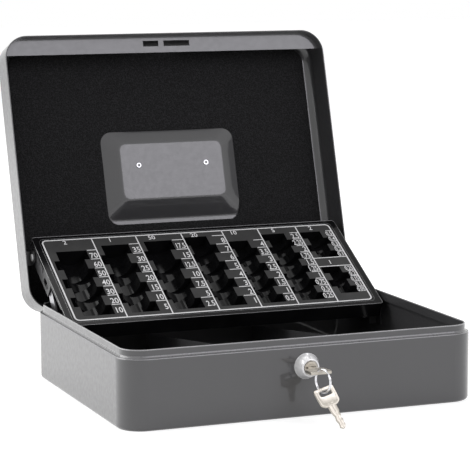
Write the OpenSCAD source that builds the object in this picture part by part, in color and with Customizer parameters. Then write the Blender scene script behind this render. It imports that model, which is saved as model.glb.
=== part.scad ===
// Steel cash box with a hinged lid, a coin counting tray that swings up with the lid,
// a key lock in the front and a carry handle folded into the lid.
// Millimetres, +Z up, the front looks along -Y, the origin is on the surface the box
// stands on, under the middle of the base. The lid is drawn open, at its stop.

/* [Box] */
// outside width of the base, left to right
body_w = 300; // [260:1:340]
// outside depth of the base, front to back
body_d = 240; // [225:1:280]
// closed height
body_h = 90; // [88:1:110]
// height of the shoulder that the closed lid rests over
shoulder_z = 56.5; // [54:0.5:60]
// height of the neck above the shoulder
neck_h = 6.5; // [5:0.5:8]
// sheet thickness
sheet = 1.0; // [0.8:0.1:1.2]
// upright corner radius of the base
corner_r = 20; // [15:0.5:28]
// rounding of the lower edge of the base
foot_r = 3; // [2:0.5:5]
// rounding of the upper edge of the lid
crown_r = 9; // [6:0.5:12]
// angle the lid stands open from closed
lid_open = 107; // [100:1:112]

/* [Inside the base] */
// distance between the two partitions
partition_gap = 100; // [80:1:120]
// height of the partitions at the front
partition_z = 57.5; // [40:0.5:58]
// fall of the partitions towards the back, in degrees
partition_fall = 7.1; // [5:0.1:10]
// thickness of the foam mat on the floor
mat_t = 2; // [1:0.5:4]

/* [Coin tray] */
// length of the tray's top plate, front to back
tray_d = 124; // [120:1:130]
// gap between the tray and the neck on each side
tray_gap = 3; // [2.8:0.1:4]
// thickness of the top plate
tray_t = 2; // [1.6:0.1:2.4]
// wall of the coin cradles
cradle_t = 1.4; // [1:0.1:1.8]
// sideways step between neighbouring groups of coins
cradle_step = 5; // [3:0.5:6]
// room for a group of five coins, over the height of the group
group_play = 1.16; // [1.14:0.01:1.18]
// depth of the tray's front skirt
skirt_h = 14; // [10:1:16]
// distance of the tray pivot from the lid hinge when closed
pivot_back = 48.6; // [46:0.2:51]
// height of the tray pivot when closed
pivot_z = 58.4; // [57:0.2:60]
// how far the open tray leans down to the front, in degrees
tray_tilt = 28.6; // [26:0.2:31]
// distance from the tray pivot to the arm pin
arm_pin_u = 41; // [38:0.5:44]

/* [Lid] */
// thickness of the foam in the lid
foam_t = 3; // [2:0.5:4]
// length of the handle pocket at the lid surface
pocket_w = 136; // [120:1:150]
// width of the handle pocket at the lid surface
pocket_d = 84; // [76:1:92]
// depth of the handle pocket
pocket_z = 9.5; // [9:0.5:11]
// distance between the two handle rivets
rivet_gap = 64; // [58:1:68]
// diameter of the handle grip
grip_d = 6; // [5:0.5:6.5]

/* [Lock and keys] */
// height of the lock axis
lock_z = 41; // [39:0.5:42]
// radius of the lock cone at the wall
cone_r = 10.3; // [9.5:0.1:12]
// how far the lock stands out
cone_h = 9; // [7:0.5:11]
// length of a key
key_len = 36; // [35:0.5:40]
// width of a key bow
bow_w = 17.5; // [15:0.5:20]
// mean radius of the key ring
ring_r = 9; // [8.6:0.1:9.4]

/* [Hidden] */
eps = 0.01;

// shell
rim_z = shoulder_z + neck_h;
neck_in = 3;
lid_in = -0.6;
lid_gap = 0.3;
neck_x = body_w / 2 - neck_in - sheet;
lid_x = body_w / 2 - lid_in - sheet;
lid_y = body_d / 2 - lid_in - sheet;
front_y = -body_d / 2;

// lid hinge
hinge_r = 2.7;
pin_r = 1.2;
hinge_y = body_d / 2 + 3;
hinge_z = shoulder_z - 3.5;
hinge_len = 50;
hinge_x = body_w / 2 - hinge_len - 20;

// tray linkage, in the plane y, z
ry = hinge_y - pivot_back;
rz = pivot_z;
ca = cos(lid_open);
sa = sin(lid_open);
ro_y = hinge_y + (ry - hinge_y) * ca + (rz - hinge_z) * sa;
ro_z = hinge_z - (ry - hinge_y) * sa + (rz - hinge_z) * ca;
t0_y = ry - arm_pin_u;
t0_z = rz;
t1_y = ro_y - arm_pin_u * cos(tray_tilt);
t1_z = ro_z - arm_pin_u * sin(tray_tilt);
dt_y = t1_y - t0_y;
dt_z = t1_z - t0_z;
dt = sqrt(dt_y * dt_y + dt_z * dt_z);
arm_len = dt / 2 / sin(lid_open / 2);
drop = dt / 2 / tan(lid_open / 2);
b_y = (t0_y + t1_y) / 2 + dt_z / dt * drop;
b_z = (t0_z + t1_z) / 2 - dt_y / dt * drop;
arm_up = atan2(t1_z - b_z, t1_y - b_y);

// widths across the tray side, measured from the tray edge inwards
plate = 1.2;
tray_x = neck_x - tray_gap;
br_o = tray_x - 0.6;
br_i = br_o - plate;
arm_o = br_i - 0.4;
arm_i = arm_o - plate;
lb_i = tray_x + 0.2;
lb_o = lb_i + plate;

// tray plan, u runs to the back from the tray pivot, n is up
tray_u1 = 15;
tray_u0 = tray_u1 - tray_d;
tray_n = 10;
// front end of the coin rows, and of the short row of the smallest coin
row_u0 = tray_u0 + 12;
last_u0 = row_u0 + 6;
// diameters and heights of the eight coins, and groups of five in each row
coin_d = [25.75, 23.25, 24.25, 22.25, 19.75, 21.25, 18.75, 16.25];
coin_t = [2.2, 2.33, 2.38, 2.14, 1.93, 1.67, 1.67, 1.67];
groups = [7, 7, 7, 8, 8, 10, 4, 4];
frame_x = tray_x - 8;
coin_sum = coin_d[0] + coin_d[1] + coin_d[2] + coin_d[3] + coin_d[4] + coin_d[5] + coin_d[6];
spare_w = (2 * frame_x - coin_sum) / 7;
col_0 = -frame_x;
col_1 = col_0 + coin_d[0] + spare_w;
col_2 = col_1 + coin_d[1] + spare_w;
col_3 = col_2 + coin_d[2] + spare_w;
col_4 = col_3 + coin_d[3] + spare_w;
col_5 = col_4 + coin_d[4] + spare_w;
col_6 = col_5 + coin_d[5] + spare_w;
cols = [col_0, col_1, col_2, col_3, col_4, col_5, col_6];
row_n = len(coin_d) - 1;
row_x = [for (i = [0 : row_n]) cols[min(i, 6)] + coin_d[min(i, 6)] / 2 + 6.5];
row_f = [for (i = [0 : row_n]) i < 6 ? row_u0
  : i == 7 ? last_u0 : last_u0 + 20 * coin_t[7] * group_play + 13];

// lock and keys
cone_y = front_y - cone_h;
plug_r = 5.2;
cam_y = front_y + 7.8;
strip_z = rim_z + 1;
bow_l = 16;
key_t = 2.2;
bar_w = 2.4;
bow_y = cone_y - 21.5;
bar_y = bow_y + bar_w / 2;
ring_w = 0.65;
ring_turn = 15;
ring_out = 2.8;
ring_y = bar_y - ring_out;
ring_dy = (bar_w / 2 + ring_out) / cos(ring_turn);
ring_z = lock_z + key_t / 2 + 0.25 - sqrt(pow(ring_r - ring_w, 2) - ring_dy * ring_dy);
spare_bar_z = ring_z - ring_r + ring_w + 1.9;
spare_roll = 16;
spare_lean = acos((spare_bar_z - 1.1) / ((key_len - bar_w / 2) * cos(spare_roll)));

// ---- helpers ----
module plan(w, d, r) {
  square([w - 2 * r, d], center = true);
  square([w, d - 2 * r], center = true);
  for (x = [-1, 1])
    for (y = [-1, 1])
      translate([x * (w / 2 - r), y * (d / 2 - r)])
        circle(r = r, $fn = 64);
}

// block with rounded upright corners r and a rounded lower edge e
module tub(w, d, h, r, e) {
  translate([0, 0, e])
    linear_extrude(h - e)
      plan(w, d, r);
  linear_extrude(e + eps)
    plan(w - 2 * e, d - 2 * e, r - e);
  for (x = [-1, 1])
    for (y = [-1, 1])
      translate([x * (w / 2 - r), y * (d / 2 - r), e])
        rotate_extrude($fn = 64)
          intersection() {
            translate([r - e, 0])
              circle(r = e, $fn = 48);
            translate([0, -e])
              square([r + e, e]);
          }
  for (y = [-1, 1])
    translate([0, y * (d / 2 - e), e])
      rotate([0, 90, 0])
        cylinder(r = e, h = w - 2 * r, center = true, $fn = 48);
  for (x = [-1, 1])
    translate([x * (w / 2 - e), 0, e])
      rotate([90, 0, 0])
        cylinder(r = e, h = d - 2 * r, center = true, $fn = 48);
}

// rod along x from x0 to x1
module rod_x(x0, x1, r) {
  translate([min(x0, x1), 0, 0])
    rotate([0, 90, 0])
      cylinder(r = r, h = abs(x1 - x0), $fn = 48);
}

// rod along y from y0 (front) to y1 (back)
module rod_y(y0, y1, r, r2 = -1) {
  translate([0, y1, 0])
    rotate([90, 0, 0])
      cylinder(r1 = r, r2 = r2 < 0 ? r : r2, h = y1 - y0, $fn = 64);
}

// a flat shape drawn in y, z and given thickness from x0 to x1
module slab_x(x0, x1) {
  translate([min(x0, x1), 0, 0])
    rotate([90, 0, 90])
      linear_extrude(abs(x1 - x0))
        children();
}

// a flat shape drawn in x, z and given thickness from y0 to y1
module slab_y(y0, y1) {
  translate([0, y1, 0])
    rotate([90, 0, 0])
      linear_extrude(y1 - y0)
        children();
}

module lid_place() {
  translate([0, hinge_y, hinge_z])
    rotate([-lid_open, 0, 0])
      translate([0, -hinge_y, -hinge_z])
        children();
}

module tray_place() {
  translate([0, ro_y, ro_z])
    rotate([tray_tilt, 0, 0])
      children();
}

module arm_place() {
  translate([0, b_y, b_z])
    rotate([arm_up, 0, 0])
      children();
}

module side(s) {
  if (s > 0)
    children();
  else
    mirror([1, 0, 0])
      children();
}

// ---- base ----
module base_shell() {
  color([0.29, 0.29, 0.31])
    difference() {
      union() {
        tub(body_w, body_d, shoulder_z - 1.2, corner_r, foot_r);
        translate([0, 0, shoulder_z])
          mirror([0, 0, 1])
            tub(body_w, body_d, 4, corner_r, 1.2);
        translate([0, 0, shoulder_z - 1])
          linear_extrude(neck_h + 1)
            plan(body_w - 2 * neck_in, body_d - 2 * neck_in, corner_r - neck_in);
      }
      translate([0, 0, sheet])
        tub(body_w - 2 * sheet, body_d - 2 * sheet, shoulder_z - 2 * sheet,
          corner_r - sheet, foot_r - sheet);
      translate([0, 0, shoulder_z - 4])
        linear_extrude(neck_h + 5)
          plan(2 * neck_x, body_d - 2 * neck_in - 2 * sheet, corner_r - neck_in - sheet);
      translate([0, 0, lock_z])
        rod_y(front_y - 1, front_y + 2, 8.2);
    }
}

module floor_mat() {
  color([0.05, 0.05, 0.055])
    translate([0, 0, sheet])
      difference() {
        linear_extrude(mat_t)
          plan(body_w - 2 * foot_r, body_d - 2 * foot_r, corner_r - foot_r);
        for (s = [-1, 1])
          translate([s * partition_gap / 2 - 6, -body_d / 2, -1])
            cube([12, body_d, mat_t + 2]);
      }
}

module partition(s) {
  y0 = -body_d / 2 + sheet + 0.3;
  y1 = body_d / 2 - sheet - 0.3;
  top_y = -body_d / 2 + neck_in + sheet + 0.3;
  step_z = shoulder_z - 2 * sheet - 0.3;
  color([0.27, 0.27, 0.29])
    translate([s * partition_gap / 2, 0, sheet]) {
      slab_x(-0.4, 0.4)
        polygon([[y0 + 3, 0], [y1 - 3, 0], [y1, 3],
          [y1, partition_z - sheet - (y1 - top_y) * tan(partition_fall)],
          [top_y, partition_z - sheet], [top_y, step_z], [y0, step_z], [y0, 3]]);
      translate([-4.8, y0 + 4, 0])
        cube([9.6, y1 - y0 - 8, 0.8]);
    }
}

module partition_left() { partition(-1); }
module partition_right() { partition(1); }

// ---- lid hinges: five knuckles each, three on the base leaf and two on the lid leaf ----
module knuckles(first, count) {
  k = hinge_len / 5;
  for (i = [0 : count - 1])
    translate([-hinge_len / 2 + (first + 2 * i) * k + 0.15, 0, 0])
      children();
}

module hinge_leaf_base(s) {
  k = hinge_len / 5 - 0.3;
  color([0.29, 0.29, 0.31])
    translate([s * hinge_x, hinge_y, hinge_z])
      difference() {
        union() {
          translate([-hinge_len / 2, -3, -18])
            cube([hinge_len, sheet, 14.6]);
          knuckles(0, 3) {
            rod_x(0, k, hinge_r);
            translate([0, -3, -5])
              cube([k, sheet, 4.4]);
          }
        }
        rod_x(-hinge_len / 2 - 1, hinge_len / 2 + 1, pin_r);
      }
}

module hinge_leaf_lid(s) {
  k = hinge_len / 5 - 0.3;
  w = lid_in + 3;
  color([0.29, 0.29, 0.31])
    lid_place()
      translate([s * hinge_x, hinge_y, hinge_z])
        difference() {
          union() {
            translate([-hinge_len / 2, -w, lid_gap + 4])
              cube([hinge_len, sheet, 13]);
            knuckles(1, 2) {
              rod_x(0, k, hinge_r);
              slab_x(0, k)
                polygon([[-w, 6], [-w, 0.5], [0, 0.5], [0, 2.65], [-1.4, 3.2],
                  [-w + sheet, 5.4], [-w + sheet, 6]]);
            }
          }
          rod_x(-hinge_len / 2 - 1, hinge_len / 2 + 1, pin_r + 0.05);
        }
}

module hinge_pin(s) {
  color([0.75, 0.75, 0.77])
    translate([s * hinge_x, hinge_y, hinge_z]) {
      rod_x(-hinge_len / 2 - 0.6, hinge_len / 2 + 0.6, pin_r);
      for (e = [-1, 1])
        translate([e * (hinge_len / 2 + 1), 0, 0])
          rod_x(-0.5, 0.5, 2);
    }
}

module hinge_leaf_base_left() { hinge_leaf_base(-1); }
module hinge_leaf_base_right() { hinge_leaf_base(1); }
module hinge_leaf_lid_left() { hinge_leaf_lid(-1); }
module hinge_leaf_lid_right() { hinge_leaf_lid(1); }
module hinge_pin_left() { hinge_pin(-1); }
module hinge_pin_right() { hinge_pin(1); }

// ---- arms that carry the front of the tray ----
// hat-shaped stand on the side wall, its face next to the arm
module arm_stand(s) {
  w = body_w / 2 - sheet;
  color([0.27, 0.27, 0.29])
    side(s)
      translate([0, b_y, b_z])
        difference() {
          union() {
            translate([br_i, -10, -9])
              cube([plate, 20, 18]);
            for (y = [-10, 10 - plate])
              translate([br_i, y, -9])
                cube([w - br_i, plate, 18]);
            for (y = [-18, 10 - plate])
              translate([w - plate, y, -9])
                cube([plate, 8 + plate, 18]);
          }
          rod_x(br_i - 1, br_o + 1, 2);
        }
}

module arm_stand_rivet(s) {
  color([0.75, 0.75, 0.77])
    side(s)
      translate([0, b_y, b_z]) {
        rod_x(arm_i - 0.4, br_o + 0.8, 2);
        rod_x(arm_i - 1.4, arm_i - 0.2, 3.6);
        rod_x(br_o, br_o + 1, 3.2);
      }
}

module arm(s) {
  color([0.72, 0.72, 0.74])
    side(s)
      arm_place()
        difference() {
          union() {
            rod_x(arm_i, arm_o, 5.5);
            translate([0, arm_len, 0])
              rod_x(arm_i, arm_o, 5);
            slab_x(arm_i, arm_o)
              polygon([[0, -5.4], [arm_len, -4.9], [arm_len, 4.9], [0, 5.4]]);
          }
          rod_x(arm_i - 1, arm_o + 1, 2.06);
          translate([0, arm_len, 0])
            rod_x(arm_i - 1, arm_o + 1, 1.5);
        }
}

module arm_pin(s) {
  color([0.1, 0.1, 0.1])
    side(s)
      arm_place()
        translate([0, arm_len, 0]) {
          rod_x(arm_i - 0.8, arm_i, 2.6);
          rod_x(arm_i - 0.2, br_o - 0.1, 1.5);
        }
}

module arm_stand_left() { arm_stand(-1); }
module arm_stand_right() { arm_stand(1); }
module arm_stand_rivet_left() { arm_stand_rivet(-1); }
module arm_stand_rivet_right() { arm_stand_rivet(1); }
module arm_left() { arm(-1); }
module arm_right() { arm(1); }
module arm_pin_left() { arm_pin(-1); }
module arm_pin_right() { arm_pin(1); }

// ---- coin tray ----
// solid half cylinders for row k, then the hollows cut from them, from the front back
module cradle_outer(k) {
  p = 5 * coin_t[k] * group_play;
  r = coin_d[k] / 2 + 0.8;
  intersection() {
    for (i = [0 : groups[k] - 1])
      translate([row_x[k] + (i % 2 == 0 ? 1 : -1) * cradle_step / 2, 0, tray_n - tray_t + eps])
        rod_y(row_f[k] + i * p - cradle_t, row_f[k] + (i + 1) * p + cradle_t, r + cradle_t);
    translate([row_x[k] - 2 * r, row_f[k] - 2 * cradle_t, tray_n - tray_t - 2 * r + eps])
      cube([4 * r, groups[k] * p + 4 * cradle_t, 2 * r]);
  }
}

module cradle_inner(k) {
  p = 5 * coin_t[k] * group_play;
  r = coin_d[k] / 2 + 0.8;
  for (i = [0 : groups[k] - 1])
    translate([row_x[k] + (i % 2 == 0 ? 1 : -1) * cradle_step / 2, 0, tray_n - tray_t]) {
      rod_y(row_f[k] + i * p, row_f[k] + (i + 1) * p + eps, r);
      translate([-r, row_f[k] + i * p, 0])
        cube([2 * r, p + eps, tray_t + 5]);
    }
}

module tray_body() {
  color([0.04, 0.04, 0.045])
    tray_place()
      difference() {
        union() {
          translate([0, (tray_u0 + tray_u1) / 2, tray_n - tray_t])
            linear_extrude(tray_t)
              plan(2 * tray_x, tray_d, 3);
          translate([0, (tray_u0 + tray_u1) / 2, tray_n - skirt_h])
            linear_extrude(skirt_h)
              difference() {
                plan(2 * tray_x, tray_d, 3);
                plan(2 * tray_x - 3.2, tray_d - 3.2, 1.4);
                translate([-tray_x - 1, -tray_d / 2 + 4])
                  square([2 * tray_x + 2, tray_d]);
              }
          translate([0, (tray_u0 + tray_u1) / 2, tray_n - 6])
            linear_extrude(6)
              difference() {
                plan(2 * tray_x, tray_d, 3);
                plan(2 * tray_x - 3.2, tray_d - 3.2, 1.4);
                translate([-tray_x - 1, -tray_d / 2 - 4])
                  square([2 * tray_x + 2, tray_d]);
              }
          for (k = [0 : row_n])
            cradle_outer(k);
          // bosses for the bracket rivets
          for (s = [-1, 1])
            for (u = [-12, -24])
              translate([s > 0 ? br_i - 5 : -br_i, u - 3.5, 1.6])
                cube([5, 7, tray_n - tray_t - 1.6]);
        }
        for (k = [0 : row_n])
          cradle_inner(k);
        for (s = [-1, 1])
          for (u = [-12, -24])
            translate([0, u, 4])
              rod_x(s * (br_i - 4), s * (br_i + 1), 1.3);
      }
}

module tray_bracket(s) {
  color([0.2, 0.2, 0.21])
    side(s)
      tray_place()
        difference() {
          slab_x(br_i, br_o)
            polygon([[10, tray_n - tray_t], [-arm_pin_u - 9, tray_n - tray_t],
              [-arm_pin_u - 6, -6.5], [6, -6.5], [10, -3]]);
          rod_x(br_i - 1, br_o + 1, 2.06);
          for (u = [-12, -24])
            translate([0, u, 4])
              rod_x(br_i - 1, br_o + 1, 1.3);
          // slot that the arm pin slides in
          for (u = [0, 6.6])
            translate([0, -arm_pin_u + u, 0])
              rod_x(br_i - 1, br_o + 1, 3);
          translate([br_i - 1, -arm_pin_u, -3])
            cube([plate + 2, 6.6, 6]);
        }
}

module bracket_rivets(s) {
  color([0.1, 0.1, 0.1])
    side(s)
      tray_place()
        for (u = [-12, -24])
          translate([0, u, 4]) {
            rod_x(br_i - 4, br_o + 0.2, 1.3);
            rod_x(br_o, br_o + 0.5, 2.4);
          }
}

module tray_bracket_left() { tray_bracket(-1); }
module tray_bracket_right() { tray_bracket(1); }
module bracket_rivets_left() { bracket_rivets(-1); }
module bracket_rivets_right() { bracket_rivets(1); }

// ---- lid ----
// rounded frustum of the handle pocket, grown by g: wide at z = 0, narrow at z = -pocket_z
module pocket(g) {
  hull() {
    translate([0, 0, -eps])
      linear_extrude(eps)
        plan(pocket_w + 2 * g, pocket_d + 2 * g, 11 + g);
    translate([0, 0, -pocket_z])
      linear_extrude(eps)
        plan(pocket_w - 38 + 2 * g, pocket_d - 33 + 2 * g, 7 + g);
  }
}

module lid_shell() {
  w = body_w - 2 * lid_in;
  d = body_d - 2 * lid_in;
  z0 = shoulder_z + lid_gap;
  color([0.29, 0.29, 0.31])
    lid_place()
      difference() {
        union() {
          difference() {
            translate([0, 0, body_h])
              mirror([0, 0, 1])
                tub(w, d, body_h - z0, corner_r - lid_in, crown_r);
            translate([0, 0, body_h - sheet])
              mirror([0, 0, 1])
                tub(w - 2 * sheet, d - 2 * sheet, body_h - sheet - z0 + 1,
                  corner_r - lid_in - sheet, crown_r - sheet);
          }
          translate([0, 0, body_h - sheet])
            pocket(0);
        }
        translate([0, 0, body_h])
          pocket(-0.3);
        for (s = [-1, 1])
          translate([s * rivet_gap / 2, -5.5, body_h - pocket_z - 3])
            cylinder(r = 2, h = 6, $fn = 48);
      }
}

module lid_foam() {
  color([0.06, 0.06, 0.065])
    lid_place()
      difference() {
        translate([0, 0, body_h - sheet - foam_t])
          linear_extrude(foam_t)
            plan(2 * lid_x - 2 * crown_r + 2, 2 * lid_y - 2 * crown_r + 2, corner_r - 5);
        for (y = [0, 9])
          translate([0, y, body_h - sheet + eps])
            pocket(0.4);
      }
}

module lock_strip() {
  color([0.29, 0.29, 0.31])
    lid_place()
      difference() {
        union() {
          translate([0, 0, strip_z])
            linear_extrude(sheet)
              intersection() {
                plan(2 * lid_x, 2 * lid_y, corner_r - lid_in - sheet);
                translate([-lid_x, -lid_y])
                  square([2 * lid_x, 15]);
              }
          translate([-lid_x + corner_r, -lid_y, strip_z])
            cube([2 * lid_x - 2 * corner_r, sheet, body_h - crown_r - 4 - strip_z]);
        }
        translate([-21, -lid_y + 4.2, strip_z - 1])
          cube([14.5, 5.2, 3]);
        translate([-1.5, -lid_y + 4.2, strip_z - 1])
          cube([24.5, 5.2, 3]);
      }
}

// joggled plate: its upper half lies on the lid wall, its lower half hangs inside the neck
module lid_bracket(s) {
  color([0.2, 0.2, 0.21])
    side(s)
      lid_place()
        translate([0, ry, rz])
          difference() {
            union() {
              rod_x(lb_i, lb_o, 6);
              translate([lb_i, -6, 0])
                cube([plate, 12, rim_z + 2.6 - rz]);
              translate([lb_i, -6, rim_z + 1.4 - rz])
                cube([lid_x - lb_i, 12, plate]);
              translate([lid_x - plate, -10, rim_z + 1.4 - rz])
                cube([plate, 20, 12]);
            }
            rod_x(lb_i - 1, lb_o + 1, 2);
          }
}

module pivot_rivet(s) {
  color([0.8, 0.8, 0.82])
    side(s)
      lid_place()
        translate([0, ry, rz]) {
          rod_x(br_i - 0.5, lb_o + 0.2, 2);
          rod_x(lb_o, lb_o + 0.8, 3);
          rod_x(br_i - 1.1, br_i - 0.1, 3.4);
        }
}

module lid_bracket_left() { lid_bracket(-1); }
module lid_bracket_right() { lid_bracket(1); }
module pivot_rivet_left() { pivot_rivet(-1); }
module pivot_rivet_right() { pivot_rivet(1); }

// ---- carry handle, folded down in its pocket ----
hand_z = body_h - pocket_z + 3.9;
hand_y = -5.5;
hand_l = 24;
hand_x = rivet_gap / 2 + 9.5;

module handle() {
  color([0.06, 0.06, 0.06])
    lid_place()
      translate([0, hand_y, hand_z]) {
        translate([0, hand_l, 0])
          rod_x(-hand_x, hand_x, grip_d / 2);
        for (s = [-1, 1]) {
          translate([s * hand_x, hand_l, 0])
            sphere(r = grip_d / 2, $fn = 48);
          translate([s * hand_x, 0, 0]) {
            rod_y(0, hand_l, grip_d / 2);
            sphere(r = grip_d / 2, $fn = 48);
          }
          rod_x(s * (rivet_gap / 2 - 3), s * hand_x, 1.5);
        }
      }
}

module handle_mount(s) {
  z0 = body_h - pocket_z;
  color([0.7, 0.7, 0.72])
    lid_place()
      translate([s * rivet_gap / 2, hand_y, 0])
        difference() {
          union() {
            translate([-5, -4.5, z0])
              cube([10, 9, hand_z - z0]);
            translate([0, 0, hand_z])
              rod_x(-5, 5, 3.2);
          }
          translate([0, 0, hand_z])
            rod_x(-6, 6, 1.56);
          translate([0, 0, z0 - 1])
            cylinder(r = 2, h = 2.6, $fn = 48);
        }
}

// tubular rivet, its open rolled end shows inside the lid
module handle_rivet(s) {
  z0 = body_h - pocket_z - sheet;
  color([0.82, 0.82, 0.84])
    lid_place()
      translate([s * rivet_gap / 2, hand_y, z0])
        difference() {
          union() {
            translate([0, 0, -1])
              cylinder(r1 = 2.2, r2 = 2.7, h = 1, $fn = 48);
            translate([0, 0, -0.5])
              cylinder(r = 2, h = sheet + 2, $fn = 48);
          }
          translate([0, 0, -2])
            cylinder(r = 1.2, h = 3.6, $fn = 48);
        }
}

module handle_mount_left() { handle_mount(-1); }
module handle_mount_right() { handle_mount(1); }
module handle_rivet_left() { handle_rivet(-1); }
module handle_rivet_right() { handle_rivet(1); }

// ---- lock ----
module lock_body() {
  color([0.85, 0.85, 0.87])
    translate([0, 0, lock_z])
      difference() {
        union() {
          rod_y(cone_y, front_y, cone_r, cone_r - 3.3);
          rod_y(front_y - 1, front_y + 6.4, 8);
        }
        rod_y(cone_y - 1, front_y + 8, plug_r + 0.08);
        translate([-0.8, cone_y - 1, cone_r - 2.6])
          cube([1.6, cone_h - 2, 4]);
      }
}

module lock_nut() {
  color([0.6, 0.6, 0.62])
    translate([0, 0, lock_z])
      difference() {
        slab_y(front_y + sheet, front_y + sheet + 3.4)
          circle(r = 11.5, $fn = 6);
        rod_y(front_y, front_y + 6, 8);
      }
}

module lock_plug() {
  color([0.8, 0.8, 0.82])
    translate([0, 0, lock_z])
      difference() {
        union() {
          rod_y(cone_y - 0.3, cam_y - 1, plug_r);
          translate([-3, cam_y - 1.5, -3])
            cube([6, 2.5, 6]);
        }
        translate([-4, cone_y - 1, -1.15])
          cube([8, 15.8, 2.3]);
        rod_y(cam_y - 1.9, cam_y + 3, 1.4);
      }
}

// the arm lies to the right when unlocked and swings up through the strip when locked
module lock_cam() {
  t = strip_z - lock_z;
  color([0.7, 0.7, 0.72])
    translate([0, 0, lock_z])
      rotate([0, 90, 0])
        slab_y(cam_y - 1, cam_y + 1)
          difference() {
            union() {
              circle(r = 7, $fn = 64);
              translate([0, -1])
                square([6, t + 7]);
              translate([-5, t + 2.3])
                square([6, 3.7]);
            }
            square([6, 6], center = true);
          }
}

module cam_screw() {
  color([0.75, 0.75, 0.77])
    translate([0, 0, lock_z])
      difference() {
        union() {
          rod_y(cam_y - 1.8, cam_y + 1.5, 1.4);
          rod_y(cam_y + 1, cam_y + 3, 4.4, 3.6);
        }
        translate([-5, cam_y + 2.2, -0.5])
          cube([10, 2, 1]);
      }
}

// ---- keys: drawn along -Z from the middle of the bow's bar, flat in x, z ----
module key_flat(blade) {
  b = bow_w / 2;
  difference() {
    union() {
      polygon([[-b + 2, bar_w / 2], [b - 2, bar_w / 2], [b, bar_w / 2 - 2],
        [b - 0.4, -bow_l * 0.72], [4.2, -bow_l + bar_w / 2],
        [-4.2, -bow_l + bar_w / 2], [-b + 0.4, -bow_l * 0.72],
        [-b, bar_w / 2 - 2]]);
      polygon([[-3.4, -bow_l + 3], [3.4, -bow_l + 3], [3.4, -blade * 0.2 - bow_l],
        [2.5, -blade * 0.28 - bow_l], [3.1, -blade * 0.36 - bow_l],
        [1.9, -blade * 0.48 - bow_l], [2.9, -blade * 0.58 - bow_l],
        [2.1, -blade * 0.68 - bow_l], [2.7, -blade * 0.78 - bow_l],
        [1.2, -bow_l - blade + bar_w / 2], [-1.2, -bow_l - blade + bar_w / 2],
        [-2.7, -blade * 0.85 - bow_l], [-2, -blade * 0.7 - bow_l],
        [-2.9, -blade * 0.55 - bow_l], [-2.2, -blade * 0.4 - bow_l],
        [-3.4, -blade * 0.2 - bow_l]]);
    }
    translate([0, -bar_w / 2 - 2.35])
      square([5.8, 4.7], center = true);
    for (s = [-1, 1])
      translate([s * 2.9, -bar_w / 2 - 2.35])
        circle(r = 2.35, $fn = 32);
  }
}

module key_in_lock() {
  color([0.78, 0.76, 0.72])
    translate([0, bar_y, lock_z])
      rotate([90, 0, 0])
        slab_y(-key_t / 2, key_t / 2)
          key_flat(key_len - bow_l);
}

module key_ring() {
  color([0.8, 0.8, 0.82])
    translate([0, ring_y, ring_z])
      rotate([0, 0, ring_turn])
        rotate([0, 90, 0])
          rotate_extrude($fn = 96)
            translate([ring_r, 0])
              circle(r = ring_w, $fn = 24);
}

module spare_key() {
  color([0.78, 0.76, 0.72])
    translate([0, ring_y, spare_bar_z])
      rotate([-spare_lean, 0, 0])
        rotate([0, -spare_roll, 0])
          slab_y(-key_t / 2, key_t / 2)
            key_flat(key_len - bow_l);
}

base_shell();
floor_mat();
partition_left();
partition_right();
hinge_leaf_base_left();
hinge_leaf_base_right();
hinge_leaf_lid_left();
hinge_leaf_lid_right();
hinge_pin_left();
hinge_pin_right();
arm_stand_left();
arm_stand_right();
arm_stand_rivet_left();
arm_stand_rivet_right();
arm_left();
arm_right();
arm_pin_left();
arm_pin_right();
tray_body();
tray_bracket_left();
tray_bracket_right();
bracket_rivets_left();
bracket_rivets_right();
lid_shell();
lid_foam();
lock_strip();
lid_bracket_left();
lid_bracket_right();
pivot_rivet_left();
pivot_rivet_right();
handle();
handle_mount_left();
handle_mount_right();
handle_rivet_left();
handle_rivet_right();
lock_body();
lock_nut();
lock_plug();
lock_cam();
cam_screw();
key_in_lock();
key_ring();
spare_key();
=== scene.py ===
import math

import bmesh
import bpy
import numpy as np
from mathutils import Matrix, Vector


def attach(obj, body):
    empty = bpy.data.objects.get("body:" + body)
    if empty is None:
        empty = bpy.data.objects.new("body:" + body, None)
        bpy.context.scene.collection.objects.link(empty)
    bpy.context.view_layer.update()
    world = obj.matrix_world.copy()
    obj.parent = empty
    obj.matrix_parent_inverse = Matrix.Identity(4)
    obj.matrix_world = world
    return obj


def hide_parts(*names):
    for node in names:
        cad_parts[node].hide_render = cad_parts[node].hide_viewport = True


# Looks of the steel cash box: paint, foam, printed coin tray, chrome lock, keys on a split ring.
# Lengths are in millimetres until a mesh is written in metres.
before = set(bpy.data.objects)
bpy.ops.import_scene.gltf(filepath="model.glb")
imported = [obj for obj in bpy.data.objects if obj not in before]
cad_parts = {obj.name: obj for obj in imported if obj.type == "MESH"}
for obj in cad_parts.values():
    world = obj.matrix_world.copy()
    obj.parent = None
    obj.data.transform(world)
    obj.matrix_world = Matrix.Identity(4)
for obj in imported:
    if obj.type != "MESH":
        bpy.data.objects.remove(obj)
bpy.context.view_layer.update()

MM = 0.001
CREASE = math.radians(32.0)

# The lid's hinge axis, and the angle by which the closed lid is turned back.
LID_OPEN = math.radians(107.0)
HINGE_Y, HINGE_Z = 123.0, 53.0

# The tray's pivot and tilt, the height of its top face, and the printed frame on it.
TRAY_TILT = math.radians(28.6)
TRAY_Y, TRAY_Z = 142.3733, 97.8976
TRAY_TOP = 10.0
FRAME_X, FRAME_FRONT, FRAME_BACK = 135.0, -102.0, 9.0

# The lock's axis and the front of its cone.
LOCK_Z = 41.0
CONE_Y = -129.0


# ---- places ----
def as_built(p):
    """Points of the base, which need no turning."""
    return p


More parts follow.
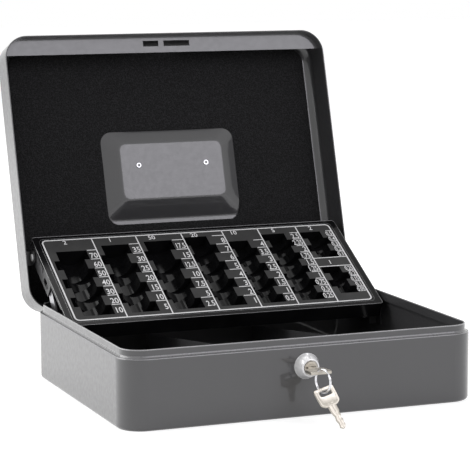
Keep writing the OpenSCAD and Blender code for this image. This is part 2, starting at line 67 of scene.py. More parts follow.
def on_lid(p):
    """Points of the closed box turned back about the lid hinge by the opening angle."""
    y, z = p[..., 1] - HINGE_Y, p[..., 2] - HINGE_Z
    c, s = math.cos(LID_OPEN), math.sin(LID_OPEN)
    return np.stack([p[..., 0], HINGE_Y + y * c + z * s, HINGE_Z - y * s + z * c], -1)


def on_tray(p):
    """Points (x, u, n) of the tray: u runs back along the plate, n stands on it."""
    u, n = p[..., 1], p[..., 2]
    c, s = math.cos(TRAY_TILT), math.sin(TRAY_TILT)
    return np.stack([p[..., 0], TRAY_Y + u * c - n * s, TRAY_Z + u * s + n * c], -1)


# ---- meshes ----
def linked(name, data):
    """A new object of the scene that holds the data."""
    obj = bpy.data.objects.new(name, data)
    bpy.context.scene.collection.objects.link(obj)
    return obj


def grid_faces(rows, cols, wrap_rows=False):
    """Quads between neighbouring rows of a grid of points whose columns close on themselves."""
    i = np.arange(rows if wrap_rows else rows - 1)[:, None]
    j = np.arange(cols)[None, :]
    i2, j2 = (i + 1) % rows, (j + 1) % cols
    quads = [i * cols + j, i * cols + j2, i2 * cols + j2, i2 * cols + j]
    return np.stack(quads, -1).reshape(-1, 4)


def loft(rings):
    """Rings of points joined by quads, each end closed by a fan to its middle point."""
    rows, cols = rings.shape[:2]
    quads = grid_faces(rows, cols)
    ends = np.stack([rings[0].mean(0), rings[-1].mean(0)])
    i = np.arange(cols)
    j = (i + 1) % cols
    first_end, last_end, last_row = rows * cols, rows * cols + 1, (rows - 1) * cols
    fans = np.concatenate([np.stack([j, i, i * 0 + first_end], 1),
                           np.stack([last_row + i, last_row + j, i * 0 + last_end], 1)])
    return np.concatenate([rings.reshape(-1, 3), ends]), quads, fans


def volume(points, faces):
    """Six times the volume under the faces, as fans of tetrahedra from the origin."""
    total = 0.0
    for k in range(1, faces.shape[1] - 1):
        a, b, c = points[faces[:, 0]], points[faces[:, k]], points[faces[:, k + 1]]
        total += np.einsum("ij,ij->i", a, np.cross(b, c)).sum()
    return total


def make(name, parts, body, finish, replaces=()):
    """One object of closed parts, each (points, faces, ...), turned outwards."""
    verts, polys, count = [], [], 0
    for points, *groups in parts:
        inside_out = sum(volume(points, faces) for faces in groups) < 0
        for faces in groups:
            polys += ((faces[:, ::-1] if inside_out else faces) + count).tolist()
        verts.append(points)
        count += len(points)
    mesh = bpy.data.meshes.new(name)
    mesh.from_pydata((np.concatenate(verts) * MM).tolist(), [], polys)
    mesh.polygons.foreach_set("use_smooth", np.ones(len(mesh.polygons), bool))
    mesh.set_sharp_from_angle(angle=CREASE)
    mesh.materials.append(finish)
    obj = linked(name, mesh)
    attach(obj, body)
    if replaces:
        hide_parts(*replaces)
    return obj


def rounded(x0, x1, y0, y1, radii, steps=10, side=6):
    """A rectangle with an arc of its own radius at each corner, counter-clockwise from the
    lower left. Gives the points and their outward normals."""
    corners = [(x0, y0, 1, 1, 180), (x1, y0, -1, 1, 270), (x1, y1, -1, -1, 0), (x0, y1, 1, -1, 90)]
    arcs, outs = [], []
    for (x, y, sx, sy, start), radius in zip(corners, radii):
        a = np.radians(np.linspace(start, start + 90, steps))
        out = np.stack([np.cos(a), np.sin(a)], 1)
        arcs.append(np.array([x + sx * radius, y + sy * radius]) + radius * out)
        outs.append(out)
    points, normals = [], []
    for k in range(4):
        a, b = arcs[k][-1], arcs[(k + 1) % 4][0]
        t = np.linspace(0, 1, side + 2)[1:-1, None]
        points += [arcs[k], a + (b - a) * t]
        normals += [outs[k], np.repeat(outs[k][-1:], side, 0)]
    return np.concatenate(points), np.concatenate(normals)


def rounded_plate(x, y, radius, steps=10, side=6):
    """A rounded rectangle about the middle, from its half width and half depth."""
    return rounded(-x, x, -y, y, [radius] * 4, steps, side)


def at_heights(rows):
    """Outlines in x, y, each lifted to its own height: a stack of rings."""
    return np.array([np.c_[xy, np.full(len(xy), z)] for xy, z in rows])


def band(outline, normals, section, place):
    """A closed outline in x, y thickened by a closed section (out, up) at every point."""
    p = np.empty((len(section), len(outline), 3))
    p[..., :2] = outline[None] + section[:, 0, None, None] * normals[None]
    p[..., 2] = section[:, 1, None]
    return place(p.reshape(-1, 3)), grid_faces(len(section), len(outline), wrap_rows=True)


def oval(wide, high, out=0.0, up=0.0, steps=14):
    """An ellipse about (out, up): cosine times half the width, sine times half the height."""
    a = np.linspace(0, 2 * np.pi, steps, endpoint=False)
    return np.stack([out + wide / 2 * np.cos(a), up + high / 2 * np.sin(a)], 1)


def strip_section(wide, low, high):
    """A flat strip's section with its two upper edges chamfered by 0.04 mm."""
    w, edge = wide / 2, 0.04
    return np.array([[-w, low], [w, low], [w, high - edge], [w - edge, high],
                     [-w + edge, high], [-w, high - edge]])


def strip(start, end, section, place):
    """A straight strip of the given section between two points in x, y."""
    start, end = np.array(start, float), np.array(end, float)
    along = (end - start) / np.linalg.norm(end - start)
    across = np.array([-along[1], along[0]])
    rings = np.empty((2, len(section), 3))
    for k, point in enumerate((start, end)):
        rings[k, :, :2] = point + section[:, :1] * across
        rings[k, :, 2] = section[:, 1]
    points, quads, fans = loft(rings)
    return place(points), quads, fans


# ---- finishes ----
def nodes_of(name):
    """A new node material: the tree, its shader and a maker of linked nodes."""
    mat = bpy.data.materials.new(name)
    mat.use_nodes = True
    tree = mat.node_tree
    shader = tree.nodes["Principled BSDF"]

    def node(kind, links=(), **values):
        made = tree.nodes.new(kind)
        for key, value in values.items():
            if key.startswith("in_"):
                made.inputs[int(key[3:])].default_value = value
            else:
                setattr(made, key, value)
        for socket, source in links:
            tree.links.new(made.inputs[socket], source)
        return made

    return mat, tree, shader, node


def grain(node, scale, detail, rough=0.55, stretch=(1, 1, 1)):
    """Noise on the piece's own place in space, in metres, stretched by a Mapping."""
    place = node("ShaderNodeTexCoord")
    turn = node("ShaderNodeMapping", [(0, place.outputs["Object"])])
    turn.inputs["Scale"].default_value = stretch
    noise = node("ShaderNodeTexNoise", [(0, turn.outputs[0])], in_2=scale, in_3=detail, in_4=rough)
    return noise.outputs[0]


def tint(node, factor, dark, light, low=0.3, high=0.7):
    """A colour ramp between two tones."""
    ramp = node("ShaderNodeValToRGB", [(0, factor)])
    first, last = ramp.color_ramp.elements
    first.position, last.position = low, high
    first.color, last.color = (*dark, 1), (*light, 1)
    return ramp.outputs[0]


def shade(rgb, k):
    """A colour made k times as light, at most white."""
    return tuple(min(1.0, c * k) for c in rgb)


def add_bump(tree, shader, node, height, depth):
    """A bump of the given depth in metres on the shader's normal; gives the bump node."""
    bump = node("ShaderNodeBump", [("Height", height)])
    bump.inputs["Distance"].default_value = depth
    tree.links.new(shader.inputs["Normal"], bump.outputs[0])
    return bump


def coated(name, rgb, rough, peel=0.06, peel_scale=500.0, coat=0.0, coat_rough=0.1, metal=0.0,
           spread=0.06, rough_spread=0.06, stretch=(1, 1, 1)):
    """A paint, plating or plastic: slow mottling of colour, fine grain of roughness and bumps."""
    mat, tree, shader, node = nodes_of(name)
    colour = tint(node, grain(node, 28.0, 4.0), shade(rgb, 1 - spread), shade(rgb, 1 + spread))
    tree.links.new(shader.inputs["Base Color"], colour)
    fine = grain(node, peel_scale, 2.0, stretch=stretch)
    span = node("ShaderNodeMapRange", [(0, fine)], in_1=0.3, in_2=0.7,
                in_3=max(0.02, rough - rough_spread), in_4=rough + rough_spread)
    tree.links.new(shader.inputs["Roughness"], span.outputs[0])
    add_bump(tree, shader, node, fine, 0.0004).inputs["Strength"].default_value = peel
    shader.inputs["Metallic"].default_value = metal
    shader.inputs["Coat Weight"].default_value = coat
    shader.inputs["Coat Roughness"].default_value = coat_rough
    return mat


def tray_plastic():
    """Gloss black plastic; the flat top inside the printed frame has a fine matt grain,
    found by its height on the tray and its distance from the frame."""
    mat, tree, shader, node = nodes_of("gloss_black_plastic")
    place = node("ShaderNodeTexCoord").outputs["Object"]
    c, s = math.cos(TRAY_TILT), math.sin(TRAY_TILT)
    y0, z0 = TRAY_Y * MM, TRAY_Z * MM
    margin = 0.5

    def along(direction, offset):
        dot = node("ShaderNodeVectorMath", [(0, place)], operation="DOT_PRODUCT")
        dot.inputs[1].default_value = direction
        return node("ShaderNodeMath", [(0, dot.outputs["Value"])], operation="SUBTRACT",
                    in_1=offset).outputs[0]

    def maths(kind, a, value):
        return node("ShaderNodeMath", [(0, a)], operation=kind, in_1=value).outputs[0]

    def product(a, b):
        return node("ShaderNodeMath", [(0, a), (1, b)], operation="MULTIPLY").outputs[0]

    height = along((0, -s, c), -y0 * s + z0 * c)
    back = along((0, c, s), y0 * c + z0 * s)
    centre, half_depth = (FRAME_FRONT + FRAME_BACK) / 2, (FRAME_BACK - FRAME_FRONT) / 2
    from_middle = maths("ABSOLUTE", along((1, 0, 0), 0.0), 0.0)
    from_centre = maths("ABSOLUTE", maths("SUBTRACT", back, centre * MM), 0.0)
    inside = product(maths("LESS_THAN", from_middle, (FRAME_X - margin) * MM),
                     maths("LESS_THAN", from_centre, (half_depth - margin) * MM))
    flat_top = product(inside, maths("GREATER_THAN", height, (TRAY_TOP - 0.1) * MM))
    slow = grain(node, 60.0, 4.0)
    mix = node("ShaderNodeMix", data_type="RGBA")
    tree.links.new(mix.inputs[0], flat_top)
    tree.links.new(mix.inputs[6], tint(node, slow, (0.004, 0.004, 0.0045), (0.008, 0.008, 0.0085)))
    tree.links.new(mix.inputs[7], tint(node, slow, (0.043, 0.043, 0.043), (0.056, 0.056, 0.055)))
    tree.links.new(shader.inputs["Base Color"], mix.outputs[2])
    rough = node("ShaderNodeMapRange", [(0, flat_top)], in_1=0.0, in_2=1.0, in_3=0.1, in_4=0.5)
    tree.links.new(shader.inputs["Roughness"], rough.outputs[0])
    bump = add_bump(tree, shader, node, grain(node, 2500.0, 2.0), 0.0002)
    tree.links.new(bump.inputs["Strength"], maths("MULTIPLY", flat_top, 0.3))
    shader.inputs["Specular IOR Level"].default_value = 0.1
    return mat


def foam_finish(name, rgb):
    """Open-cell foam: dark cells of a Voronoi pattern under a fine noise, no gloss."""
    mat, tree, shader, node = nodes_of(name)
    place = node("ShaderNodeTexCoord").outputs["Object"]
    cells = node("ShaderNodeTexVoronoi", [(0, place)])
    cells.inputs["Scale"].default_value = 900.0
    specks = node("ShaderNodeMath", [(0, cells.outputs[0]), (1, grain(node, 420.0, 6.0, 0.75))],
                  operation="MULTIPLY").outputs[0]
    colour = tint(node, specks, shade(rgb, 0.35), shade(rgb, 2.0), 0.08, 0.42)
    tree.links.new(shader.inputs["Base Color"], colour)
    add_bump(tree, shader, node, specks, 0.0006).inputs["Strength"].default_value = 0.8
    shader.inputs["Roughness"].default_value = 0.95
    shader.inputs["Specular IOR Level"].default_value = 0.15
    shader.inputs["Sheen Weight"].default_value = 0.15
    return mat


body_paint = coated("grey_gloss_coat", (0.053, 0.0527, 0.055), 0.36, peel=0.007,
                    peel_scale=260.0, coat=0.8, coat_rough=0.05, spread=0.03)
# Painted highlight: a lighter copy of the body paint on the neck's root fillet, standing in for the
# light caught along it.
root_painted_highlight = coated("root_coat_painted_highlight", (0.15, 0.15, 0.153), 0.3, peel=0.01, coat=0.8,
                        coat_rough=0.05, spread=0.03)
# Painted highlight: a pale copy of the body paint on the neck's hem and the shoulder edge, standing
# in for the bright lines along the rim and shoulder.
edge_painted_highlight = coated("edge_coat_painted_highlight", (0.3, 0.3, 0.305), 0.24, peel=0.01, coat=0.8,
                    coat_rough=0.05, spread=0.03)
bracket_paint = coated("dark_bracket_coat", (0.027, 0.027, 0.028), 0.42, peel=0.08)
zinc = coated("bright_zinc", (0.5, 0.5, 0.52), 0.34, metal=1.0, peel=0.05,
              peel_scale=700.0, stretch=(1, 8, 1), spread=0.12)
black_steel = coated("black_oxide", (0.03, 0.03, 0.032), 0.38, peel=0.08)
# Painted reflection: the chrome gets a near-white base with little metal, so that it reads bright
# under any light, standing in for the glare of polished chrome.
chrome = coated("whitened_satin_chrome_painted_reflection", (0.95, 0.95, 0.95), 0.2, metal=0.1, coat=0.8, peel=0.05,
                peel_scale=900.0, rough_spread=0.05, spread=0.05, stretch=(2, 0.3, 2))
bright_wire = coated("bright_spring_wire", (0.74, 0.74, 0.76), 0.14, metal=1.0, peel=0.02,
                     rough_spread=0.03, spread=0.04)
nickel = coated("satin_nickel", (0.49, 0.46, 0.405), 0.34, metal=0.9, peel=0.08,
                peel_scale=900.0, stretch=(1, 1, 6), spread=0.08)
grip_plastic = coated("matt_black_plastic", (0.022, 0.022, 0.023), 0.5, peel=0.15,
                      peel_scale=1300.0)
print_white = coated("white_print", (0.8, 0.8, 0.8), 0.55, peel=0.05, spread=0.05)
tray_black = tray_plastic()
# Painted highlight: the tray's beads are a grey far lighter than its black, standing in for the
# light caught along its edges.
bead_painted_highlight = coated("gloss_black_edge_painted_highlight", (0.08, 0.08, 0.08), 0.14, peel=0.02, coat=1.0,
                    rough_spread=0.04)
foam_black = foam_finish("black_foam", (0.011, 0.011, 0.0115))
mat_black = foam_finish("black_felt", (0.012, 0.012, 0.013))

# The finish of each solid, by the start of its name; the first match counts.
FINISHES = [
    (("base_shell", "lid_shell", "lock_strip", "partition", "hinge_leaf"), body_paint),
    (("pivot_rivet", "lock_body"), chrome),
    (("arm_stand_rivet", "handle_rivet", "handle_mount", "hinge_pin", "lock_nut",
      "lock_cam", "cam_screw", "arm_left", "arm_right"), zinc),
    (("arm_stand", "tray_bracket", "lid_bracket"), bracket_paint),
    (("arm_pin", "bracket_rivets"), black_steel),
    (("tray_body",), tray_black),
    (("handle",), grip_plastic),
    (("key_ring",), bright_wire),
    (("key_in_lock", "spare_key", "lock_plug"), nickel),
    (("lid_foam",), foam_black),
    (("floor_mat",), mat_black),
]
for name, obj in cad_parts.items():
    finish = next(paint for starts, paint in FINISHES if name.startswith(starts))
    for slot in obj.material_slots:
        slot.material = finish
    if not obj.material_slots:
        obj.data.materials.append(finish)


# ---- foam and felt ----
def foam_lining():
    """Lid lining: a band between the panel's outline and the hole's. Its section runs up the
    outer side, over a rounded edge, across the front with a slow sine swell of 0.2 mm, over the
    hole's rounded edge and down the wall that leans on the pocket's slope."""
    back, front, steps, side = 88.95, 86.0, 12, 14
    outer, outer_n = rounded_plate(141.6, 111.6, 15, steps, side)
    hole_front, hole_n = rounded(-62.6, 62.6, -37.0, 46.0, [10] * 4, steps, side)
    hole_back, _ = rounded(-68.2, 68.2, -42.0, 51.0, [11.2] * 4, steps, side)
    near, far = outer - 1.1 * outer_n, hole_front + 1.0 * hole_n
    rows = [(outer, back), (outer, 87.4), (outer - 0.15 * outer_n, 86.7),
            (outer - 0.5 * outer_n, 86.25), (near, front)]
    rows += [(near + (far - near) * t, front) for t in np.linspace(0, 1, 16)[1:]]
    rows += [(hole_front + 0.4 * hole_n, 86.2), (hole_front + 0.1 * hole_n, 86.6),
             (hole_front + 0.25 * (hole_back - hole_front), 87.2), (hole_back, back)]
    p = at_heights(rows)
    x, y = p[..., 0], p[..., 1]
    swell = 0.12 * np.sin(x / 19 + 1.3 * np.sin(y / 31)) + 0.08 * np.sin(y / 13 + x / 47)
    p[..., 2] += np.where(p[..., 2] < front + 0.3, swell, 0)
    faces = grid_faces(len(rows), len(outer), wrap_rows=True)
    obj = make("lid_foam_lining", [(on_lid(p.reshape(-1, 3)), faces)], "lid", foam_black,
               ["lid_foam"])


def floor_pads():
    """Three felt pads: rounded outlines lofted from the floor up over a soft 0.8 mm edge, and
    closed by a small outline in the middle of the top."""
    corner, square = 17, 1
    pads = [(-147, -56, [corner, square, square, corner]),
            (-44, 44, [square] * 4),
            (56, 147, [square, corner, corner, square])]
    edge = [(0.0, 1.02), (0.0, 2.3), (0.2, 2.7), (0.7, 2.93), (1.6, 3.0)]
    parts = []
    for left, right, radii in pads:
        line, out = rounded(left, right, -117, 117, radii, 10, 12)
        middle = line.mean(0)
        rows = [(line - inset * out, z) for inset, z in edge]
        rows.append((middle + (line - middle) * 0.4, 3.02))
        parts.append(loft(at_heights(rows)))
    obj = make("floor_pads", parts, "base", mat_black, ["floor_mat"])


# ---- rolled edges ----
def root_fillet():
    """The hollow curve where the neck rises from the shoulder: a quarter circle of 1.9 mm
    closed behind the sheet."""
    radius, top, inner, under = 1.9, 58.4, -0.3, 56.2
    a = np.radians(np.linspace(180, 270, 9))
    arc = np.stack([radius + radius * np.cos(a), top + radius * np.sin(a)], 1)
    return np.concatenate([arc, [[radius, under], [inner, under], [inner, top]]])


def hem(name, x, y, radius, section, body, place, finish):
    """A rounded sheet edge or a fillet: a section carried round the shell's outline."""
    line, out = rounded_plate(x, y, radius, 16, 20)
    make(name, [band(line, out, section, place)], body, finish)


def rolled_edges():
    """The hem of the lid, and on the base those of the neck, its root and the shoulder. The neck's
    hem and the shoulder edge are painted pale grey and the root a lighter grey than the body:
    painted highlights along the rim and shoulder.
    """
    hem("lid_hem", 150.1, 120.1, 20.1, oval(1.1, 0.9, 0.0, 56.95), "lid", on_lid, body_paint)
    hem("neck_hem", 146.5, 116.5, 16.5, oval(1.2, 1.1, 0.0, 62.7), "base", as_built, edge_painted_highlight)
    hem("neck_root", 147.0, 117.0, 17.0, root_fillet(), "base", as_built, root_painted_highlight)
    hem("shoulder_edge", 150.0, 120.0, 20.0, oval(0.7, 0.7, -0.45, 56.05), "base", as_built,
        edge_painted_highlight)


# ---- handle pocket ----
def pocket_skin():
    """The painted inner face of the handle pocket, 0.3 mm over the pressed sheet. Over the share
    t of the slope its height is 9.5 mm times the soft ramp w (ln(1 + e^(t/w)) - ln(1 +
    e^((t-1)/w))), so that foot and upper edge are round; a flat border runs under the foam."""
    w, panel_z, deep = 0.035, 88.7, 9.5
    t = np.linspace(-0.06, 1.16, 46)
    ramp = w * (np.logaddexp(0, t / w) - np.logaddexp(0, (t - 1) / w))
    rows = [(rounded(-69.4, 69.4, -43.4, 52.4, [12.0] * 4)[0], panel_z + 0.02)]
    rows += [(rounded_plate(68 - 19 * share, 42 - 16.5 * share, 11 - 4 * share)[0], z)
             for share, z in zip(t, panel_z - deep * ramp)]
    last, floor_z = rows[-1]
    rows += [(last * k, floor_z) for k in (0.66, 0.33)]
    front = at_heights(rows)
    back = front[::-1] + np.array([0, 0, 0.5])
    points, quads, fans = loft(np.concatenate([back, front]))
    make("pocket_skin", [(on_lid(points), quads, fans)], "lid", body_paint)


# ---- printed tray ----
# Each row of the tray: its heading and where that stands along the plate, the worth of one group
# of coins and how many are numbered, the coin's diameter and thickness, the groups the row holds,
# the row's middle, its first step and the line at its right.
COIN_ROWS = [
    ("2", 2.4, 10, 7, 25.75, 2.2, 7, -115.6, -97.0, -90.2),
    ("1", 2.4, 5, 7, 23.25, 2.33, 7, -74.7, -97.0, -49.8),
    ("50", 2.4, 2.5, 7, 24.25, 2.38, 7, -34.6, -97.0, -7.6),
    ("20", 2.4, 1, 8, 22.25, 2.14, 8, 5.05, -97.0, 31.1),
    ("10", 2.4, 0.5, 8, 19.75, 1.93, 8, 42.45, -97.0, 65.4),
    ("5", 2.4, 0.25, 10, 21.25, 1.67, 10, 79.3, -97.0, 102.4),
    ("2", 2.4, 0.1, 5, 18.75, 1.67, 4, 115.7, -39.26, FRAME_X),
    ("1", -48.8, 0.05, 5, 16.25, 1.67, 4, 115.7, -91.0, FRAME_X),
]
COINS_IN_GROUP, COIN_ROOM = 5, 1.16
LAST_DIVIDER = 102.4
SHORT_ROW_LINES = (-52.0, -39.5)
CAP_HEIGHT = 0.72


def figures(text, x_right, u, high, squeeze):
    """Plain figures on the tray, right-aligned, standing 0.075 mm on the plate: a text curve made
    a mesh, its points scaled to the height and laid on the plate."""
    curve = bpy.data.curves.new("figures", "FONT")
    curve.body, curve.size, curve.extrude, curve.align_x = text, 1.0, 0.03, "RIGHT"
    curve.resolution_u, curve.offset = 3, 0.012
    holder = bpy.data.objects.new("figures", curve)
    mesh = bpy.data.meshes.new_from_object(holder)
    points = np.empty(len(mesh.vertices) * 3)
    mesh.vertices.foreach_get("co", points)
    points = points.reshape(-1, 3)
    scale = high / CAP_HEIGHT
    flat = np.stack([x_right + points[:, 0] * scale * squeeze, u + points[:, 1] * scale,
                     TRAY_TOP + 0.03 + np.sign(points[:, 2]) * 0.045], 1)
    faces = [list(p.vertices) for p in mesh.polygons]
    bpy.data.objects.remove(holder)
    bpy.data.curves.remove(curve)
    bpy.data.meshes.remove(mesh)
    return on_tray(flat), faces


def tray_print():
    """White lines: a frame, a divider after each row, and a step beside each group of coins.
    Gives the figures that stand between the steps."""
    low, high = TRAY_TOP - 0.02, TRAY_TOP + 0.08
    frame_line, divider_line, step_line = (strip_section(w, low, high) for w in (1.3, 1.1, 0.9))
    line, out = rounded(-FRAME_X, FRAME_X, FRAME_FRONT, FRAME_BACK, [4] * 4, 8, 4)
    parts = [band(line, out, frame_line, on_tray)]
    for *_, x in COIN_ROWS[:6]:
        parts.append(strip((x, FRAME_FRONT), (x, FRAME_BACK), divider_line, on_tray))
    numbers = []
    for head, head_u, worth, steps, wide, thick, groups, x, start, edge in COIN_ROWS:
        pitch = COINS_IN_GROUP * thick * COIN_ROOM * groups / steps
        left = min(x + wide / 2 + 3.9, edge - 5)
        for j in range(steps + 1):
            u = start + j * pitch
            if j:
                label = f"{worth * j:g}"
                numbers.append((label, edge - 1.1, u - pitch * 0.87, min(7.2, pitch * 0.72),
                                0.72 - 0.08 * max(0, len(label) - 2)))
            if start < u < 5:
                parts.append(strip((left, u), (edge, u), step_line, on_tray))
        numbers.append((head, x + 2, head_u, 5.6, 0.85))
    for u in SHORT_ROW_LINES:
        parts.append(strip((LAST_DIVIDER, u), (FRAME_X, u), step_line, on_tray))
    make("tray_print", parts, "tray", print_white)
    return numbers


def tray_figures(numbers):
    """All the figures as one object, their faces and sides joined into closed forms."""
    verts, polys, count = [], [], 0
    for number in numbers:
        points, faces = figures(*number)
        verts.append(points)
        polys += [[i + count for i in face] for face in faces]
        count += len(points)
    mesh = bpy.data.meshes.new("tray_figures")
    mesh.from_pydata((np.concatenate(verts) * MM).tolist(), [], polys)
    mesh.materials.append(print_white)
    work = bmesh.new()
    work.from_mesh(mesh)
    bmesh.ops.remove_doubles(work, verts=work.verts, dist=1e-7)
    bmesh.ops.recalc_face_normals(work, faces=work.faces)
    work.to_mesh(mesh)
    work.free()
    obj = linked("tray_figures", mesh)
    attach(obj, "tray")


def tray_beads():
    """Two moulded beads round the plate, one at its edge and one just outside the frame. Their grey
    is far lighter than the tray's black: painted highlight lines along the plate's edges.
    """
    beads = [(142.6, -108.6, 14.6, 2.4, 0.6, 0.6), (137.4, -104.2, 11.2, 4.5, 0.35, 0.3)]
    parts = []
    for x, front, back, radius, wide, high in beads:
        line, out = rounded(-x, x, front, back, [radius] * 4, 8, 6)
        parts.append(band(line, out, oval(wide, high, 0, TRAY_TOP), on_tray))
    make("tray_beads", parts, "tray", bead_painted_highlight)


# ---- lock ----
def lock_case():
    """The lock's case, a section turned about the lock axis: a groove round the plug, a rounded
    nose, a flank that is the straight cone plus a sine bulge of 0.25 mm, a lip at the wall and a
    ridged stem behind it. The notch on top takes the radius down to 7.3 mm over a smooth step
    0.9 mm from the middle."""
    nose, wall, back = CONE_Y, CONE_Y + 9.0, CONE_Y + 15.4
    bore, groove, notch, notch_half = 5.28, 5.85, 7.3, 0.9
    t = np.linspace(0.06, 0.92, 22)
    stem = np.linspace(wall + 0.6, back - 0.2, 23)
    ridge = 7.95 - 0.3 * (np.arange(len(stem)) % 2)
    r = np.concatenate([[bore, bore, groove, groove, 6.15, 6.75],
                        7.0 + 3.3 * t + 0.25 * np.sin(np.pi * t),
                        [10.15, 10.32, 10.32, 8.0], ridge, [7.5, bore]])[:, None]
    y = np.concatenate([[nose + 3, nose + 1.3, nose + 1.2, nose + 0.2, nose, nose + 0.12],
                        nose + 9 * t, [wall - 0.62, wall - 0.5, wall, wall],
                        stem, [back, back]])[:, None]
    a = np.radians(np.unique(np.r_[np.linspace(0, 357, 120), np.linspace(80, 100, 41)]))
    near = (np.sin(a) > 0) / (1 + np.exp((np.abs(r * np.cos(a)) - notch_half) / 0.05))
    forward = (y < wall) / (1 + np.exp(np.clip((y - wall + 1.6) / 0.1, -50, 50)))
    reach = r - np.clip(r - notch, 0, None) * near * forward
    p = np.stack([reach * np.cos(a), y + 0 * reach, LOCK_Z + reach * np.sin(a)], -1)
    faces = grid_faces(len(r), len(a), wrap_rows=True)
    # The case's near-white chrome finish is a painted reflection.
    make("lock_case", [(p.reshape(-1, 3), faces)], "base", chrome, ["lock_body"])


# ---- keys and ring ----
# Half the thickness of a key, where its blade starts and ends below the bar of the bow, and how
# far the middle of the slot lies below that bar.
HALF_KEY = 1.1
BLADE_ROOT, BLADE_TIP = 12.0, 34.8
BOW_DROP = 3.55

# The bar of the lock key's bow, and the ring that hangs from it: its radius to the middle of the
# wire, its turn about the upright, how far its middle lies in front of the bar, half its wire.
BAR_Y = CONE_Y - 21.5 + 1.2
RING_R, RING_TURN, RING_OUT = 9.0, math.radians(15), 2.8
RING_HALF_WIRE = 0.65
RING_Y = BAR_Y - RING_OUT
RING_Z = LOCK_Z + 1.35 - math.sqrt((RING_R - RING_HALF_WIRE) ** 2
                                   - ((1.2 + RING_OUT) / math.cos(RING_TURN)) ** 2)

# The hanging key: its bar's height, its roll in its own plane, and the lean that puts its tip on
# the floor.
SPARE_Z = RING_Z - RING_R + RING_HALF_WIRE + 1.9
SPARE_ROLL = math.radians(16)
SPARE_LEAN = math.acos((SPARE_Z - HALF_KEY) / (BLADE_TIP * math.cos(SPARE_ROLL)))


def bow_outline(angles, inset):
    """The bow seen from the middle of its slot: the nearest of its flat sides along each angle,
    blended with a high power so that the corners are a little round."""
    sides = [((0, 1), 4.75), ((0.707, 0.707), 8.8), ((1, -0.04), 8.8), ((0.62, -0.785), 12.0),
             ((0, -1), 11.2), ((-0.62, -0.785), 12.0), ((-1, -0.04), 8.8), ((-0.707, 0.707), 8.8)]
    normal = np.array([n for n, _ in sides])
    normal /= np.linalg.norm(normal, axis=1)[:, None]
    away = np.array([d for _, d in sides]) - inset
    ray = np.stack([np.cos(angles), np.sin(angles)], 1)
    near = np.clip(ray @ normal.T, 0, None) / away
    return ray * (np.sum(near ** 40, 1) ** (-1 / 40))[:, None]


def slot_outline(angles, grow):
    """A slot: the fourth-power oval 5.2 by 2.3 mm."""
    ray = np.stack([np.cos(angles), np.sin(angles)], 1)
    reach = ((ray[:, 0] / (5.2 + grow)) ** 4 + (ray[:, 1] / (2.3 + grow)) ** 4) ** -0.25
    return ray * reach[:, None]


def key_bow(place):
    """The bow, a plate with chamfered edges and sunk panels round its slot."""
    a = np.linspace(0, 2 * np.pi, 96, endpoint=False)
    outer, bevel, rim, panel = (bow_outline(a, inset) for inset in (0.0, 0.35, 1.5, 1.8))
    slot, lip = slot_outline(a, 0.0), slot_outline(a, 0.3)
    by_lip = lip + (panel - lip) * 0.15
    t = HALF_KEY
    upper = [(outer, t - 0.35), (bevel, t), (rim, t), (panel, t - 0.12), (by_lip, t - 0.12),
             (lip, t - 0.02), (slot, t - 0.3)]
    lower = [(xy, -level) for xy, level in upper[::-1]]
    rows = lower[-1:] + upper + lower[:-1]
    p = np.array([np.stack([xy[:, 0], np.full(len(xy), level), xy[:, 1] - BOW_DROP], 1)
                  for xy, level in rows])
    return place(p.reshape(-1, 3)), grid_faces(len(rows), len(a), wrap_rows=True)


def key_blade(place):
    """The blade, a lofted section whose two edges follow the cuts and whose faces carry a milled
    groove."""
    down = np.concatenate([np.linspace(BLADE_ROOT, 33.9, 54), [34.4, 34.7, BLADE_TIP]])
    right = np.interp(down, [BLADE_ROOT, 20.0, 21.6, 23.2, 25.6, 27.6, 29.6, 31.6, 34.0, BLADE_TIP],
                      [3.4, 3.4, 2.5, 3.1, 1.9, 2.9, 2.1, 2.7, 1.4, 0.6])
    left = np.interp(down, [BLADE_ROOT, 20.0, 24.0, 27.0, 30.0, 33.0, 34.2, BLADE_TIP],
                     [3.4, 3.4, 2.2, 2.9, 2.0, 2.7, 1.4, 0.6])
    thick = np.interp(down, [BLADE_ROOT, 33.4, BLADE_TIP], [1.02, 1.02, 0.6])
    half_section = np.array([[-1, -0.7], [-0.8, -1], [-0.5, -1], [-0.36, -0.62], [-0.1, -0.62],
                             [0.04, -1], [0.8, -1], [1, -0.7]])
    section = np.concatenate([half_section, -half_section])
    rings = np.empty((len(down), len(section), 3))
    rings[..., 0] = (right - left)[:, None] / 2 + (right + left)[:, None] / 2 * section[:, 0]
    rings[..., 1] = thick[:, None] * section[:, 1]
    rings[..., 2] = -down[:, None]
    points, quads, fans = loft(rings)
    return place(points), quads, fans


def key(name, place, body, replaces):
    """A key along -Z from the bar of its bow, flat in x, z, in two closed parts."""
    make(name, [key_bow(place), key_blade(place)], body, nickel, replaces)


def in_lock(p):
    """A key's points turned a quarter about x, so that its blade runs back into the plug."""
    return np.stack([p[..., 0], BAR_Y - p[..., 2], LOCK_Z + p[..., 1]], -1)


def on_ring(p):
    """A key's points rolled in its own plane, then leaned about x, hanging from the ring."""
    c, s = math.cos(SPARE_ROLL), -math.sin(SPARE_ROLL)
    x, y, z = p[..., 0] * c + p[..., 2] * s, p[..., 1], -p[..., 0] * s + p[..., 2] * c
    c, s = math.cos(SPARE_LEAN), -math.sin(SPARE_LEAN)
    return np.stack([x, RING_Y + y * c - z * s, SPARE_Z + y * s + z * c], -1)


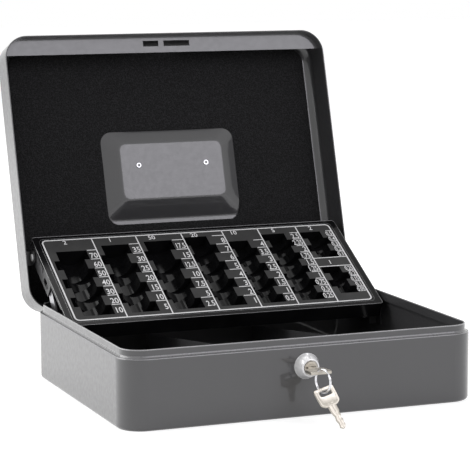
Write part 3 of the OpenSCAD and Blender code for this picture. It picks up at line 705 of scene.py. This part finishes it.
def split_ring():
    """Two turns of flattened wire: the centre line is a circle that steps sideways half a wire
    each way over a short smooth jog, the ends cut square and closed."""
    turns = np.linspace(0.04, 1.96, 260)
    a = (2 * np.pi * turns + 2.2)[:, None]
    b = np.linspace(0, 2 * np.pi, 14, endpoint=False)[None, :]
    reach = RING_R + 0.6 * np.cos(b)
    x = 0.52 * np.tanh((turns[:, None] - 1.0) * 14) + 0.5 * np.sin(b)
    y, z = reach * np.cos(a), reach * np.sin(a)
    c, s = math.cos(RING_TURN), math.sin(RING_TURN)
    p = np.stack([x * c - y * s, RING_Y + x * s + y * c, RING_Z + z], -1)
    make("split_ring", [loft(p)], "ring", bright_wire, ["key_ring"])


foam_lining()
floor_pads()
pocket_skin()
rolled_edges()
tray_figures(tray_print())
tray_beads()
lock_case()
key("lock_key", in_lock, "lock_core", ["key_in_lock"])
key("hanging_key", on_ring, "loose_key", ["spare_key"])
split_ring()


# ---- camera ----
def set_camera():
    """A long lens from the front left, its axis a little below and right of the middle."""
    picture, focal, axis_x, axis_y = 470, 2167.55, 289.87, 288.67
    yaw, pitch = math.radians(22.833), math.radians(9.646)
    forward = np.array([math.sin(yaw) * math.cos(pitch), math.cos(yaw) * math.cos(pitch),
                        -math.sin(pitch)])
    right = np.array([math.cos(yaw), -math.sin(yaw), 0.0])
    lens = bpy.data.cameras.new("camera")
    lens.sensor_width = 36.0
    lens.lens = focal / picture * lens.sensor_width
    lens.shift_x = (picture / 2 - axis_x) / picture
    lens.shift_y = (axis_y - picture / 2) / picture
    lens.clip_start, lens.clip_end = 0.05, 50.0
    camera = linked("camera", lens)
    m = np.eye(4)
    m[:3, 0], m[:3, 1], m[:3, 2] = right, np.cross(right, forward), -forward
    m[:3, 3] = np.array([-655.978, -1644.495, 384.21]) * MM
    camera.matrix_world = Matrix(m.tolist())
    bpy.context.scene.camera = camera


# ---- light and floor ----
def area_light(name, place, target, size, power, colour=(1, 1, 1)):
    """A square softbox in metres and watts, turned to face its target."""
    light = bpy.data.lights.new(name, "AREA")
    light.shape, light.size, light.energy, light.color = "SQUARE", size, power, colour
    obj = linked(name, light)
    obj.location = place
    obj.rotation_euler = (Vector(target) - Vector(place)).to_track_quat("-Z", "Y").to_euler()


def seen_white(tree, seen, rest):
    """A strength: one value for what the camera, gloss or glass sees, one for other rays."""
    path = tree.nodes.new("ShaderNodeLightPath")
    socket = path.outputs["Is Camera Ray"]
    for ray in ("Is Glossy Ray", "Is Transmission Ray"):
        either = tree.nodes.new("ShaderNodeMath")
        either.operation = "MAXIMUM"
        tree.links.new(either.inputs[0], socket)
        tree.links.new(either.inputs[1], path.outputs[ray])
        socket = either.outputs[0]
    span = tree.nodes.new("ShaderNodeMapRange")
    span.inputs[3].default_value, span.inputs[4].default_value = rest, seen
    tree.links.new(span.inputs[0], socket)
    return span.outputs[0]


def set_world():
    """A white studio, dimmer for the light that it gives than for what is seen of it."""
    world = bpy.data.worlds.new("studio")
    bpy.context.scene.world = world
    world.use_nodes = True
    tree = world.node_tree
    back = tree.nodes["Background"]
    back.inputs[0].default_value = (1, 1, 1, 1)
    tree.links.new(back.inputs[1], seen_white(tree, 1.0, 0.45))


def set_floor():
    """A pale floor that keeps the shadows and runs into the white of the studio."""
    half = 6.0
    mesh = bpy.data.meshes.new("floor")
    mesh.from_pydata([(-half, -half, 0), (half, -half, 0), (half, half, 0), (-half, half, 0)],
                     [], [(0, 1, 2, 3)])
    floor = linked("floor", mesh)
    mat, tree, shader, _ = nodes_of("pale_floor")
    shader.inputs["Base Color"].default_value = (0.6, 0.6, 0.6, 1)
    shader.inputs["Roughness"].default_value = 0.9
    shader.inputs["Emission Color"].default_value = (1, 1, 1, 1)
    tree.links.new(shader.inputs["Emission Strength"], seen_white(tree, 0.7, 0.0))
    mesh.materials.append(mat)


bpy.context.scene.view_settings.view_transform = "Standard"
set_camera()
set_world()
set_floor()
area_light("left_softbox", (-1.75, 0.85, 1.0), (-0.1, 0, 0.1), 2.0, 42.0)
area_light("right_softbox", (0.7, -1.52, 1.18), (0, 0.15, 0.15), 1.15, 12.5, (0.94, 0.92, 1.0))
area_light("back_softbox", (0.0, 1.3, 1.7), (0, 0, 0.1), 1.4, 9.0)
